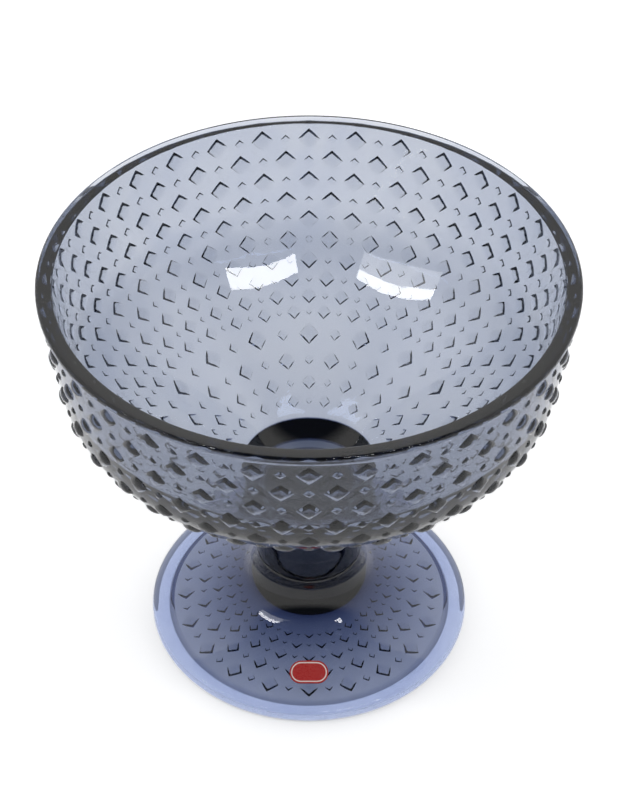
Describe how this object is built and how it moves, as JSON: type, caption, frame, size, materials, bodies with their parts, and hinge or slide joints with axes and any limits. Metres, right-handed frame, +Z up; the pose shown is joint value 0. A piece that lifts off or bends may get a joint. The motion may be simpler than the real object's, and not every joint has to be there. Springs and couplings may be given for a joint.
{
  "type": "footed glass bowl",
  "caption": "Footed dessert bowl in smoky blue pressed glass, with diamond stud relief outside and under the round foot.",
  "frame": {"origin": "middle of the foot on the plane that the bowl stands on", "axes": "+Z up along the bowl's axis; -Y towards the side with the label"},
  "size_m": [0.1402, 0.1402, 0.126],
  "materials": {
    "bowl_glass": "gloss",
    "stem_glass": "gloss",
    "foot_glass": "gloss",
    "label_paper": "gloss"
  },
  "bodies": {
    "root": {"bowl": "bowl_glass", "stem": "stem_glass", "foot": "foot_glass", "label": "label_paper"}
  },
  "joints": []
}
